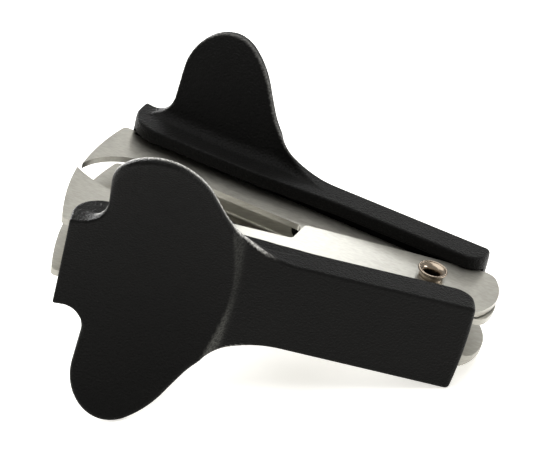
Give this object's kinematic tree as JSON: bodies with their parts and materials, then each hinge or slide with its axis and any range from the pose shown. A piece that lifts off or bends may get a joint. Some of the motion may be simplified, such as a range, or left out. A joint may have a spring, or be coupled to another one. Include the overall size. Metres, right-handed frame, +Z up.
{
  "type": "staple remover",
  "caption": "Claw staple remover: two hinged pressed-steel jaws with hooked claws, each under a moulded grip with a dished finger pad and rounded side wings, sprung open.",
  "frame": {"origin": "under the middle of the bounding box, on the table the tool lies on", "axes": "+Z up; claws toward -X; the outer jaw's half toward -Y, the inner jaw's half toward +Y; the pivot rivet leans from +Z toward +X"},
  "size_m": [0.0598, 0.0428, 0.0395],
  "materials": {
    "jaw_steel": "nickel-plated pressed steel, bright with a fine rolling grain",
    "grip_plastic": "black moulded plastic with a low sheen and a fine grain",
    "rivet_nickel": "bright nickel-plated tube, ends rolled over",
    "spring_wire": "drawn spring wire, slightly dull"
  },
  "bodies": {
    "outer_half": {"outer_jaw": "jaw_steel", "outer_jaw_grip": "grip_plastic", "pivot_rivet": "rivet_nickel", "torsion_spring": "spring_wire"},
    "inner_half": {"inner_jaw": "jaw_steel", "inner_jaw_grip": "grip_plastic"}
  },
  "joints": [
    {"name": "squeeze", "type": "hinge", "parent": "outer_half", "child": "inner_half", "pos_m": [0.01935, 0, 0.00836], "axis": [0.3178, 0, 0.9482], "range_deg": [0, 18.5], "stiffness_Nm_per_rad": 0.6, "springref_deg": -9.74, "deforming": ["torsion_spring"]}
  ]
}
